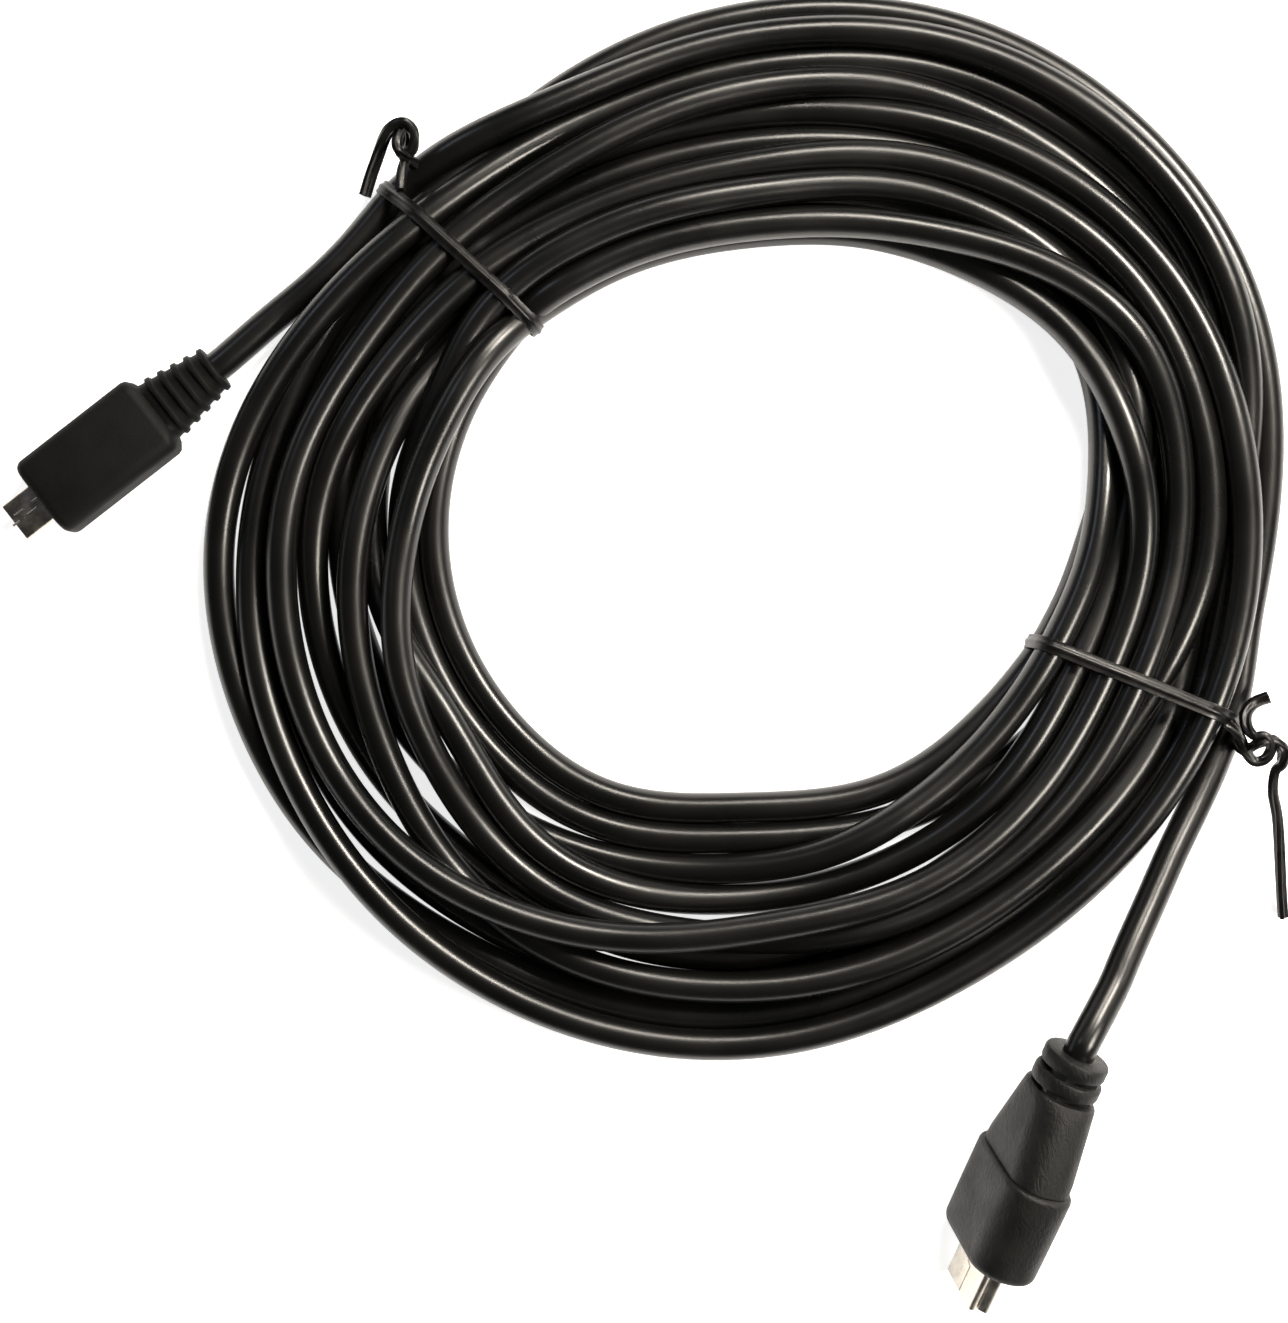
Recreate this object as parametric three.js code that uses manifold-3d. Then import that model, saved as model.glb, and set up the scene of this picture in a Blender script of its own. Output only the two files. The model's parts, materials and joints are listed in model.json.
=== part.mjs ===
// A long USB cable coiled flat, tied with two ribbon twist ties, with a micro plug and a mini plug.
// Millimetres, +Z up. The cable lies on the plane z = 0, seen from above with +Y away from the viewer.
import * as THREE from "three";
import { mergeVertices } from "three/addons/utils/BufferGeometryUtils.js";
import Module from "manifold-3d";

const wasm = await Module();
wasm.setup();

// Driving dimensions
const cableDiameter = 5;
const fitGap = 0.3;
const floorClearance = 0.1;

const coil = {
  // Mean radii of the bundle's outer and inner edge, and how far each edge lies outside its mean,
  // every 30 degrees counter-clockwise from +X.
  outerRadius: 85,
  outerWave: [0, 6.5, 5, -0.8, -6.3, -5.2, 2.4, 2.6, 2.3, 0.5, -3.4, -2.7],
  boreRadius: 48,
  boreWave: [4.9, 8.5, 3, -2.5, -2, 0.2, 0.7, 0.1, -1.9, -5.4, -2.5, -0.4],
  strandsAcross: 7,
  layers: 2,
  segments: 72,
  stepsPerStrand: 4,
};

const tie = {
  ribbonWidth: 2.4,
  ribbonThickness: 0.8,
  bendRadius: 0.8,
  twistTurns: 1.5,
  twistRadius: 0.75,
  strandSides: 6,
  knotSteps: 16,
  endSteps: 8,
};

// The points of a tie are [out from its loop, counter-clockwise along the bundle, up from its middle].
const leftTie = {
  bearingDegrees: 137,
  knot: [
    [0, 0.3, 1.8],
    [2.7, -3, 2.8],
    [5.1, -8.1, 3.8],
  ],
  ends: [
    [
      [5.1, -7, 3.5],
      [7, -6.1, 3.3],
      [5.4, -2.3, 2.3],
      [3.2, 3.5, 0.9],
    ],
  ],
};

const rightTie = {
  bearingDegrees: -19.5,
  knot: [
    [-1.6, -0.6, 2.1],
    [2.2, -4, 2.7],
    [7.8, -6.7, 2.9],
  ],
  ends: [
    [
      [2.5, -4.3, 2.9],
      [1.7, -1.4, 3.7],
      [1.7, 0.7, 4.3],
      [3.3, 2.4, 4.7],
    ],
    [
      [6.4, -6.3, 2.7],
      [9.3, -10, 1.9],
      [12.7, -18.3, -0.1],
      [17.9, -30.4, -2.6],
    ],
  ],
};

// A neck's bearing is seen from the coil's middle, and its reach is measured from the bundle's outer edge.
const microPlug = {
  neckBearing: 162.8,
  neckReach: 7,
  tipDirection: [-0.76, -0.65],
  bodyLength: 22,
  bodyWidth: 13.2,
  bodyThickness: 7.6,
  bodyCorner: 1.8,
  noseBevel: 1.2,
  tailBevel: 2,
  neckLength: 14.8,
  neckWideEnd: 11.2,
  neckNarrowEnd: 7.4,
  ribs: 5,
  ribDepth: 0.7,
  // Shares of the pitch where a rib's crest ends, and where the root beside it starts and ends.
  ribCrestEnd: 0.55,
  ribRootStart: 0.62,
  ribRootEnd: 0.95,
};

const microShell = { width: 6.85, height: 1.8, wall: 0.25, corner: 0.4, exposed: 5.8, socket: 3 };

const miniPlug = {
  neckBearing: -58.2,
  neckReach: 17.3,
  headingDegrees: -110.8,
  pitchDegrees: 14,
  rollDegrees: 8,
  bodyLength: 15,
  bodyWidth: 18.4,
  bodyThickness: 10.2,
  bodyCorner: 4.4,
  noseBevel: 1,
  step: 0.8,
  coneLength: 14,
  coneEndWidth: 11.4,
  coneEndThickness: 9.4,
  collarDiameter: 11.4,
  collarLength: 2.5,
  collars: 2,
  collarBevel: 0.4,
  collarGrooveWidth: 0.8,
  collarGrooveDepth: 1.1,
  collarGrooveWall: 0.1,
};

const miniShell = { width: 10.6, height: 3.6, wall: 0.3, corner: 0.5, exposed: 6.8, socket: 4 };
const miniGroove = { depth: 0.45, width: 1.9 };

// A plug's tongue as shares of its shell's exposed length and of the room inside it.
const tongueShare = { length: 0.85, width: 0.8, thickness: 0.6 };
const tongueRoot = 1;

// The points of a lead's centre line are [bearing in degrees, out from the bundle's edge, up].
const lead = {
  sides: 10,
  stepDiameters: 2,
  straightEnd: 2,
  // From the micro plug's neck to the coil's outer edge.
  microRoute: [
    [159.6, 5.2, 4],
    [156.7, 3.8, 3.8],
    [153.4, 2.5, 3.4],
  ],
  // From the coil's outer edge to the mini plug's neck.
  miniRoute: [
    [-32.9, 2.4, 4.4],
    [-38.4, 4.3, 6.2],
    [-44.5, 7.2, 9.6],
    [-50.6, 11.3, 13.2],
  ],
};

const black = { color: 0x161616, roughness: 0.45, metalness: 0 };
const materials = {
  cable: new THREE.MeshStandardMaterial(black),
  overmould: new THREE.MeshStandardMaterial({ ...black, roughness: 0.7 }),
  tie: new THREE.MeshStandardMaterial({ ...black, roughness: 0.35 }),
  nickel: new THREE.MeshStandardMaterial({ color: 0xb4ada0, roughness: 0.3, metalness: 1 }),
  insert: new THREE.MeshStandardMaterial({ ...black, color: 0x1e1e1e, roughness: 0.6 }),
};

// Solids from and to three.js geometries
function toSolid(geometry) {
  const bare = geometry.clone();
  bare.deleteAttribute("normal");
  bare.deleteAttribute("uv");
  const merged = mergeVertices(bare, 1e-4);
  return new wasm.Manifold(
    new wasm.Mesh({
      numProp: 3,
      vertProperties: merged.attributes.position.array,
      triVerts: new Uint32Array(merged.index.array),
    }),
  );
}

function toGeometry(solid) {
  const mesh = solid.getMesh();
  const geometry = new THREE.BufferGeometry();
  geometry.setAttribute("position", new THREE.BufferAttribute(mesh.vertProperties, mesh.numProp));
  geometry.setIndex(new THREE.BufferAttribute(mesh.triVerts, 1));
  geometry.computeVertexNormals();
  return geometry;
}

function named(name, geometry, material) {
  const mesh = new THREE.Mesh(geometry, material);
  mesh.name = name;
  return mesh;
}

// A value that runs smoothly round the coil through equally spaced readings.
function roundReading(readings, angle) {
  const count = readings.length;
  const place = ((angle / (2 * Math.PI)) % 1 + 1) % 1 * count;
  const index = Math.floor(place);
  const [before, here, next, after] = [-1, 0, 1, 2].map((k) => readings[(index + k + count) % count]);
  const t = place - index;
  const bend = (2 * before - 5 * here + 4 * next - after) * t * t;
  const twist = (3 * here - 3 * next + after - before) * t * t * t;
  return here + ((next - before) * t + bend + twist) / 2;
}

const layerRise = (cableDiameter * Math.sqrt(3)) / 2;
const bundleTop = cableDiameter + (coil.layers - 1) * layerRise;
const radians = THREE.MathUtils.degToRad;
const outerEdge = (angle) => coil.outerRadius + roundReading(coil.outerWave, angle);
const boreEdge = (angle) => coil.boreRadius + roundReading(coil.boreWave, angle);

// A point by its bearing from the coil's middle, its distance out from the bundle's edge, and its height.
function besideCoil([bearingDegrees, out, up]) {
  const bearing = radians(bearingDegrees);
  const reach = outerEdge(bearing) + out;
  return [reach * Math.cos(bearing), reach * Math.sin(bearing), up];
}

// The turned ring of the coil. Its top shows the strands side by side, its underside is flat.
function coilRing() {
  const radius = cableDiameter / 2;
  const outline = [[radius, 0]];
  for (let strand = 0; strand < coil.strandsAcross; strand++) {
    const atEdge = strand === 0 || strand === coil.strandsAcross - 1;
    const middle = cableDiameter * (strand + 0.5);
    const height = atEdge ? radius : bundleTop - radius;
    const first = strand === 0 ? 1.5 : 1;
    const last = strand === coil.strandsAcross - 1 ? -0.5 : 0;
    for (let step = 0; step <= coil.stepsPerStrand; step++) {
      const turn = Math.PI * (first + ((last - first) * step) / coil.stepsPerStrand);
      const atCorner = height === radius && Math.sin(turn) < -0.99;
      if (!atCorner) outline.push([middle + radius * Math.cos(turn), height + radius * Math.sin(turn)]);
    }
  }
  outline.push([cableDiameter * coil.strandsAcross - radius, 0]);
  outline.push(outline[0]);
  outline.reverse();
  const width = cableDiameter * coil.strandsAcross;
  const profile = outline.map(([across, up]) => new THREE.Vector2(coil.boreRadius + across, up));
  const ring = new THREE.LatheGeometry(profile, coil.segments);
  ring.rotateX(Math.PI / 2);
  const points = ring.attributes.position;
  for (let i = 0; i < points.count; i++) {
    const angle = Math.atan2(points.getY(i), points.getX(i));
    const across = (Math.hypot(points.getX(i), points.getY(i)) - coil.boreRadius) / width;
    const reach = boreEdge(angle) + (outerEdge(angle) - boreEdge(angle)) * across;
    points.setXYZ(i, reach * Math.cos(angle), reach * Math.sin(angle), points.getZ(i));
  }
  return ring;
}

// The half width of the flat that a round section keeps, so that its sides stay apart.
const roundFlat = 0.05;

// A body of rounded rectangular sections along +Z, lathed as a round one and then squared.
function roundedBody(stations, segments = 24) {
  const profile = [new THREE.Vector2(0, stations[0].at)];
  for (const station of stations) profile.push(new THREE.Vector2(station.corner, station.at));
  profile.push(new THREE.Vector2(0, stations.at(-1).at));
  const body = new THREE.LatheGeometry(profile, segments, Math.PI / segments);
  const points = body.attributes.position;
  const rows = profile.length;
  for (let i = 0; i < points.count; i++) {
    const row = i % rows;
    if (row === 0 || row === rows - 1) continue;
    const { width, thickness, corner } = stations[row - 1];
    const x = points.getX(i) + Math.sign(points.getX(i)) * (width / 2 - corner);
    const z = points.getZ(i) + Math.sign(points.getZ(i)) * (thickness / 2 - corner);
    points.setX(i, x);
    points.setZ(i, z);
  }
  return body.rotateX(Math.PI / 2);
}

function roundedRectangle(width, height, corner, grooveDepth = 0, grooveWidth = 0) {
  const x = width / 2;
  const y = height / 2;
  const shape = new THREE.Shape();
  shape.moveTo(-x + corner, -y);
  shape.lineTo(x - corner, -y);
  shape.quadraticCurveTo(x, -y, x, -y + corner);
  if (grooveDepth) {
    shape.lineTo(x, -grooveWidth / 2);
    shape.quadraticCurveTo(x - 2 * grooveDepth, 0, x, grooveWidth / 2);
  }
  shape.lineTo(x, y - corner);
  shape.quadraticCurveTo(x, y, x - corner, y);
  shape.lineTo(-x + corner, y);
  shape.quadraticCurveTo(-x, y, -x, y - corner);
  if (grooveDepth) {
    shape.lineTo(-x, grooveWidth / 2);
    shape.quadraticCurveTo(-x + 2 * grooveDepth, 0, -x, -grooveWidth / 2);
  }
  shape.lineTo(-x, -y + corner);
  shape.quadraticCurveTo(-x, -y, -x + corner, -y);
  return shape;
}

function extrude(shape, depth, curveSegments = 3) {
  return new THREE.ExtrudeGeometry(shape, { depth, bevelEnabled: false, curveSegments });
}

// The metal shell from the socket's floor to the plug's tip, and the plastic block with its tongue inside it.
// Both lie along +Z, with the front face of the moulded body at z = 0.
function shellAndInsert(size, groove = { depth: 0, width: 0 }) {
  const { width, height, wall, corner, exposed, socket } = size;
  const outline = roundedRectangle(width, height, corner, groove.depth, groove.width);
  outline.holes.push(
    roundedRectangle(width - 2 * wall, height - 2 * wall, corner - wall / 2, groove.depth, groove.width),
  );
  const back = fitGap - socket;
  const shell = extrude(outline, exposed - back).translate(0, 0, back);

  const insideWidth = width - 2 * (wall + fitGap + groove.depth);
  const insideHeight = height - 2 * (wall + fitGap);
  const block = new THREE.BoxGeometry(insideWidth, insideHeight, socket);
  block.translate(0, 0, back + socket / 2);
  const tongueStart = back + socket - tongueRoot;
  const tongueLength = exposed * tongueShare.length - tongueStart;
  const tongueWidth = insideWidth * tongueShare.width;
  const tongue = new THREE.BoxGeometry(tongueWidth, insideHeight * tongueShare.thickness, tongueLength);
  tongue.translate(0, 0, tongueStart + tongueLength / 2);
  const insert = toGeometry(toSolid(block).add(toSolid(tongue)));
  return { shell, insert };
}

// A moulded body whose front face has the socket that its shell stands in.
function cutSocket(body, size) {
  const clear = fitGap * 2;
  const opening = roundedRectangle(size.width + clear, size.height + clear, size.corner + fitGap);
  const cutter = extrude(opening, size.socket + 1).translate(0, 0, -size.socket);
  return toGeometry(toSolid(body).subtract(toSolid(cutter)));
}

// The micro plug, its front face at z = 0 and its neck running back along -Z.
function microPlugGroup() {
  const { bodyLength, bodyWidth, bodyThickness, bodyCorner, noseBevel, tailBevel } = microPlug;
  const body = (at, inset, corner = bodyCorner) => ({
    at,
    width: bodyWidth - 2 * inset,
    thickness: bodyThickness - inset,
    corner,
  });
  const stations = [];
  const { neckLength, neckWideEnd, neckNarrowEnd, ribs, ribDepth } = microPlug;
  const { ribCrestEnd, ribRootStart, ribRootEnd } = microPlug;
  const pitch = neckLength / ribs;
  for (let rib = 0; rib < ribs; rib++) {
    const start = -bodyLength - neckLength + rib * pitch;
    const share = (rib + 0.5) / ribs;
    const width = neckNarrowEnd + (neckWideEnd - neckNarrowEnd) * share;
    const thickness = neckNarrowEnd + (bodyThickness - 2 * ribDepth - neckNarrowEnd) * share;
    const section = (at, inset) => ({
      at,
      width: width - 2 * inset,
      thickness: thickness - 2 * inset,
      corner: thickness / 2 - inset - roundFlat,
    });
    stations.push(section(start, 0), section(start + pitch * ribCrestEnd, 0));
    stations.push(section(start + pitch * ribRootStart, ribDepth));
    stations.push(section(start + pitch * ribRootEnd, ribDepth));
  }
  stations.push(body(-bodyLength, tailBevel), body(-bodyLength + tailBevel, 0));
  stations.push(body(-noseBevel, 0), body(0, noseBevel / 2));

  const { shell, insert } = shellAndInsert(microShell);
  const plug = new THREE.Group();
  plug.add(named("micro_overmould", cutSocket(roundedBody(stations), microShell), materials.overmould));
  plug.add(named("micro_shell", shell, materials.nickel));
  plug.add(named("micro_insert", insert, materials.insert));

  const tip = new THREE.Vector3(...microPlug.tipDirection, 0).normalize();
  const up = new THREE.Vector3(0, 0, 1);
  const across = new THREE.Vector3().crossVectors(up, tip);
  plug.setRotationFromMatrix(new THREE.Matrix4().makeBasis(across, up, tip));
  const height = floorClearance + bodyThickness / 2;
  plug.position.set(...besideCoil([microPlug.neckBearing, microPlug.neckReach, height]));
  plug.position.addScaledVector(tip, bodyLength + neckLength);
  return plug;
}

// The mini plug, its front face at z = 0. Its body steps down to a cone that ends in round collars.
function miniPlugGroup() {
  const { bodyLength, bodyWidth, bodyThickness, bodyCorner, noseBevel, step } = miniPlug;
  const { coneLength, coneEndWidth, coneEndThickness } = miniPlug;
  const { collarDiameter, collarLength, collars, collarBevel } = miniPlug;
  const { collarGrooveWidth, collarGrooveDepth, collarGrooveWall } = miniPlug;
  const collarPitch = collarLength + collarGrooveWidth;
  const coneEnd = -bodyLength - coneLength;
  const stations = [];
  const round = (at, diameter) => ({
    at,
    width: diameter,
    thickness: diameter,
    corner: diameter / 2 - roundFlat,
  });
  for (let collar = collars; collar > 0; collar--) {
    const start = coneEnd - collar * collarPitch;
    const groove = collarDiameter - 2 * collarGrooveDepth;
    stations.push(round(start, collarDiameter - 2 * collarBevel), round(start + collarBevel, collarDiameter));
    stations.push(round(start + collarLength, collarDiameter));
    stations.push(round(start + collarLength + collarGrooveWall, groove));
    stations.push(round(start + collarPitch - collarGrooveWall, groove));
  }
  const box = (at, width, thickness) => ({
    at,
    width,
    thickness,
    corner: Math.min(bodyCorner, thickness / 2 - roundFlat),
  });
  stations.push(box(coneEnd, coneEndWidth, coneEndThickness));
  stations.push(box(-bodyLength - step, bodyWidth - 2 * step, bodyThickness - step));
  stations.push(box(-bodyLength, bodyWidth, bodyThickness));
  stations.push(box(-noseBevel, bodyWidth, bodyThickness));
  stations.push(box(0, bodyWidth - noseBevel, bodyThickness - noseBevel));

  const { shell, insert } = shellAndInsert(miniShell, miniGroove);
  const plug = new THREE.Group();
  plug.add(named("mini_overmould", cutSocket(roundedBody(stations), miniShell), materials.overmould));
  plug.add(named("mini_shell", shell, materials.nickel));
  plug.add(named("mini_insert", insert, materials.insert));

  const heading = radians(miniPlug.headingDegrees);
  const pitch = radians(miniPlug.pitchDegrees);
  const tip = new THREE.Vector3(Math.cos(heading), Math.sin(heading), -Math.tan(pitch)).normalize();
  const side = new THREE.Vector3().crossVectors(new THREE.Vector3(0, 0, 1), tip).normalize();
  const upright = new THREE.Vector3().crossVectors(tip, side);
  const roll = radians(miniPlug.rollDegrees);
  const width = upright.clone().multiplyScalar(Math.cos(roll)).addScaledVector(side, Math.sin(roll));
  const thickness = new THREE.Vector3().crossVectors(tip, width);
  plug.setRotationFromMatrix(new THREE.Matrix4().makeBasis(width, thickness, tip));

  const length = bodyLength + coneLength + collars * collarPitch;
  plug.position.set(...besideCoil([miniPlug.neckBearing, miniPlug.neckReach, 0]));
  plug.position.addScaledVector(tip, length);
  plug.updateMatrixWorld(true);
  const lowest = new THREE.Box3().setFromObject(plug, true).min.z;
  plug.position.z += floorClearance - lowest;
  return plug;
}

// Where the section through the coil under a tie's ribbon starts and ends, from the coil's centre.
function coilSection(angle) {
  const acrossRibbon = [-1, 0, 1].map((side) => angle + (side * tie.ribbonWidth) / coil.boreRadius);
  return {
    inner: Math.min(...acrossRibbon.map(boreEdge)),
    outer: Math.max(...acrossRibbon.map(outerEdge)),
  };
}

// A point of a tie, from its place beside the tie's loop.
function besideTie(angle, [out, along, up]) {
  const reach = coilSection(angle).outer + fitGap + tie.ribbonThickness + out;
  const place = new THREE.Vector3(reach, along, bundleTop / 2 + up);
  return place.applyAxisAngle(new THREE.Vector3(0, 0, 1), angle).toArray();
}

// The closed loop of a tie round the bundle, in a frame with X outwards along the section.
function tieLoop(angle) {
  const { inner, outer } = coilSection(angle);
  const thickness = tie.ribbonThickness;
  const low = floorClearance + thickness;
  const high = bundleTop + fitGap;
  const left = inner - fitGap;
  const right = outer + fitGap;
  const rounded = (grow) => {
    const shape = roundedRectangle(
      right - left + 2 * grow,
      high - low + 2 * grow,
      tie.bendRadius + grow,
    );
    return shape.getPoints(4).map((p) => p.add(new THREE.Vector2((left + right) / 2, (low + high) / 2)));
  };
  const band = new THREE.Shape(rounded(thickness));
  band.holes.push(new THREE.Path(rounded(0)));
  const loop = extrude(band, tie.ribbonWidth).translate(0, 0, -tie.ribbonWidth / 2);
  return loop.rotateX(Math.PI / 2).rotateZ(angle);
}

const strandFrames = 24;

class TwistedStrand extends THREE.Curve {
  constructor(path, phase) {
    super();
    this.path = path;
    this.phase = phase;
    this.frames = path.computeFrenetFrames(strandFrames);
  }
  getPoint(t) {
    const index = Math.min(strandFrames, Math.round(t * strandFrames));
    const angle = this.phase + 2 * Math.PI * tie.twistTurns * t;
    return this.path
      .getPointAt(t)
      .addScaledVector(this.frames.normals[index], tie.twistRadius * Math.cos(angle))
      .addScaledVector(this.frames.binormals[index], tie.twistRadius * Math.sin(angle));
  }
}

function regularSection(radius, sides) {
  const shape = new THREE.Shape();
  for (let side = 0; side < sides; side++) {
    const angle = (2 * Math.PI * side) / sides;
    const point = [radius * Math.cos(angle), radius * Math.sin(angle)];
    if (side === 0) shape.moveTo(...point);
    else shape.lineTo(...point);
  }
  return shape;
}

function sweep(shape, curve, steps) {
  return new THREE.ExtrudeGeometry(shape, { steps, bevelEnabled: false, extrudePath: curve });
}

function throughPoints(points) {
  return new THREE.CatmullRomCurve3(points.map((p) => new THREE.Vector3(...p)));
}

// A tie: the loop, the twisted knot that starts inside its outer end, and the two free ends.
function twistTie(name, { bearingDegrees, knot, ends }) {
  const angle = radians(bearingDegrees);
  const routed = (points) => throughPoints(points.map((point) => besideTie(angle, point)));
  let solid = toSolid(tieLoop(angle));
  const strand = regularSection(tie.ribbonThickness, tie.strandSides);
  for (const phase of [0, Math.PI]) {
    solid = solid.add(toSolid(sweep(strand, new TwistedStrand(routed(knot), phase), tie.knotSteps)));
  }
  const ribbon = new THREE.Shape();
  const [x, y] = [tie.ribbonThickness / 2, tie.ribbonWidth / 2];
  ribbon.moveTo(-x, -y).lineTo(x, -y).lineTo(x, y).lineTo(-x, y).closePath();
  for (const end of ends) solid = solid.add(toSolid(sweep(ribbon, routed(end), tie.endSteps)));
  return named(name, toGeometry(solid), materials.tie);
}

// The notch under the bundle where a tie's ribbon passes below the strands.
function tieNotch(angle) {
  const { inner, outer } = coilSection(angle);
  const depth = floorClearance + tie.ribbonThickness + fitGap;
  const length = outer - inner + 4 * cableDiameter;
  const notch = new THREE.BoxGeometry(length, tie.ribbonWidth + 2 * fitGap, 2 * depth);
  return notch.translate((inner + outer) / 2, 0, 0).rotateZ(angle);
}

function coilMesh() {
  let ring = toSolid(coilRing());
  for (const { bearingDegrees } of [leftTie, rightTie]) {
    ring = ring.subtract(toSolid(tieNotch(radians(bearingDegrees))));
  }
  return named("coil", toGeometry(ring), materials.cable);
}

// A lead as a plain round tube through its route.
function leadMesh(name, route) {
  const curve = throughPoints(route);
  const steps = Math.max(2, Math.round(curve.getLength() / (lead.stepDiameters * cableDiameter)));
  return named(name, sweep(regularSection(cableDiameter / 2, lead.sides), curve, steps), materials.cable);
}

// Two points on a plug's own axis where its lead leaves the neck, the nearer one first.
function leadEnds(plug, neckEnd) {
  plug.updateMatrixWorld(true);
  const onAxis = (away) => plug.localToWorld(new THREE.Vector3(0, 0, neckEnd - fitGap - away)).toArray();
  return [0, lead.straightEnd].map(onAxis);
}

const micro = microPlugGroup();
const mini = miniPlugGroup();
const microNeckEnd = -microPlug.bodyLength - microPlug.neckLength;
const miniNeckEnd =
  -miniPlug.bodyLength -
  miniPlug.coneLength -
  miniPlug.collars * (miniPlug.collarLength + miniPlug.collarGrooveWidth);

const microRoute = [...leadEnds(micro, microNeckEnd), ...lead.microRoute.map(besideCoil)];
const miniRoute = [...lead.miniRoute.map(besideCoil), ...leadEnds(mini, miniNeckEnd).reverse()];

const cable = new THREE.Group();
cable.add(coilMesh());
cable.add(leadMesh("lead_to_micro_plug", microRoute));
cable.add(leadMesh("lead_to_mini_plug", miniRoute));
cable.add(micro, mini);
cable.add(twistTie("left_twist_tie", leftTie));
cable.add(twistTie("right_twist_tie", rightTie));

// The frame's origin is the middle of the whole cable's footprint.
cable.updateMatrixWorld(true);
const footprint = new THREE.Box3().setFromObject(cable, true);
const middle = footprint.getCenter(new THREE.Vector3());
cable.children.forEach((piece) => {
  piece.position.x -= middle.x;
  piece.position.y -= middle.y;
});

export default cable;
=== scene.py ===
"""The looks of a long USB cable that lies coiled flat, held by two twist ties. Metres, +Z up."""
import json
import math

import bmesh
import bpy
import numpy as np
from mathutils import Matrix, Vector


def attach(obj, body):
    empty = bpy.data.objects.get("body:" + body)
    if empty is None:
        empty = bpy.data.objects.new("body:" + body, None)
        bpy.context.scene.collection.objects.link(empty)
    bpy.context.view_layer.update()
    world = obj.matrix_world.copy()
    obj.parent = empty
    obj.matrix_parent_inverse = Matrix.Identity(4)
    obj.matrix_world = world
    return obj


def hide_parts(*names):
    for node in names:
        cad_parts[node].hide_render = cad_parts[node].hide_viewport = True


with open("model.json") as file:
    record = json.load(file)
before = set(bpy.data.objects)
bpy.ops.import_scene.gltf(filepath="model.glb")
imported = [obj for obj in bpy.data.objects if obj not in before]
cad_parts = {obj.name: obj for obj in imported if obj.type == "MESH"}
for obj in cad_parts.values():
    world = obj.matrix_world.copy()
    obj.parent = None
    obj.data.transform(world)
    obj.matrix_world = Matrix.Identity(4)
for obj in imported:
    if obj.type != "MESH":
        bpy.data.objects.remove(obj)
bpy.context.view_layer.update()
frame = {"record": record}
mounts = {mount["name"]: mount for mount in frame["record"]["mounts"]}

MM = 0.001
CABLE_DIAMETER = 5.0
LAYER_RISE = CABLE_DIAMETER * math.sqrt(3) / 2

# The coil's middle lies this far from the mount on its underside, in millimetres.
MOUNT_TO_COIL_CENTRE = Vector((0, 64, 0))
coil_centre = Vector(mounts["coil_underside"]["pos_m"]) / MM + MOUNT_TO_COIL_CENTRE

# Photograph: its size and the floor seen in it, and where its middle lies from the coil's middle.
PHOTO_WIDTH = 1288
PHOTO_HEIGHT = 1323
PIXELS_PER_MM = 6.07
PHOTO_MIDDLE_TO_COIL = Vector((17.1, 21.6, 0))
CAMERA_HEIGHT = 300.0

# Each row is one turn, clockwise from the left tie: the radius of its centre line in millimetres
# every 30 degrees from a bearing of 120, and the layer it lies in there, 1 on the floor.
FIRST_BEARING = 120.0
READING_STEP = 30.0
TURNS = [
    ([74, 79, 85, 85, 78.5, 75, 75, 79.5, 81.5, 86.5, 86.2, 76], "222211111112"),
    ([70.5, 75, 81, 83.5, 73.5, 73, 72.5, 74, 75.5, 68.5, 62, 56], "121112222222"),
    ([49, 50, 57, 63, 54, 51, 51.5, 54.5, 60.3, 65, 66.5, 64.5], "111122221111"),
    ([59.5, 60.5, 69, 75, 63.5, 59.5, 54, 50, 54, 53.5, 54, 52], "111111112111"),
    ([51, 52.5, 61.5, 67, 58, 57.5, 58.5, 60, 62, 55.5, 59, 59], "221122222211"),
    ([55, 55.5, 65, 71, 55.5, 50, 48, 45, 49.5, 50, 50.5, 49], "111111111111"),
    ([47, 47, 54.5, 67, 69, 67.5, 66.5, 66.3, 66.8, 60.5, 54.5, 49.5], "222222222222"),
    ([48.5, 48, 51, 61, 63.5, 62, 65, 65, 72, 77, 74.5, 67], "111222333322"),
    ([65, 69.5, 78, 80.5, 68.5, 65, 64.5, 69, 69.5, 72.3, 70.5, 62], "222111111222"),
    ([56.5, 57, 65.5, 74, 75, 70, 70, 75, 77, 80, 77, 73], "222221111111"),
    ([67.5, 66, 71.5, 78, 79.5, 78.5, 78, 82.5, 84, 84, 79.5, 74.5], "112222222222"),
    ([77.5, 83.2, 89.2, 89.8, 83.4], "11111"),
]

# The bundle's outer and inner edge every 30 degrees counter-clockwise from +X.
OUTER_EDGE = [86.2, 93.3, 92.8, 86.8, 81.8, 79.2, 89.0, 89.4, 88.0, 86.0, 82.0, 82.0]
INNER_EDGE = [53.4, 56.6, 51.2, 45.8, 46.0, 48.2, 49.0, 48.4, 46.2, 42.7, 45.5, 47.6]

# Leads between the coil and the plugs' necks: bearing, radius and height.
MICRO_LEAD = [(159.0, 86.8, 3.8), (155.3, 84.1, 3.4), (150.5, 81.3, 3.0), (145.3, 79.6, 2.7)]
MICRO_LEAD += [(141.0, 79.2, 2.6), (137.3, 79.3, 2.6), (133.5, 79.0, 2.6)]
MINI_LEAD = [(-12.0, 82.8, 2.6), (-19.3, 84.0, 2.7), (-24.2, 84.5, 3.4), (-31.3, 84.8, 5.2)]
MINI_LEAD += [(-37.6, 85.5, 7.6), (-43.1, 87.2, 10.0), (-48.5, 89.6, 12.8), (-53.4, 92.7, 15.5)]

# How the turns settle: stations every few degrees, pushed apart where one would lie in another.
STATION_STEP = 2.5
SETTLING_STEPS = 700
EASING_STEPS = 10
HOLD = 0.03
GRAVITY = 0.012
BEND_SMOOTHING = 0.5
PUSH = 0.35
WALL_FIRMNESS = 0.5

# Degrees over which the fixed leads turn into the free turns.
LEAD_BLEND = 10

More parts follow.
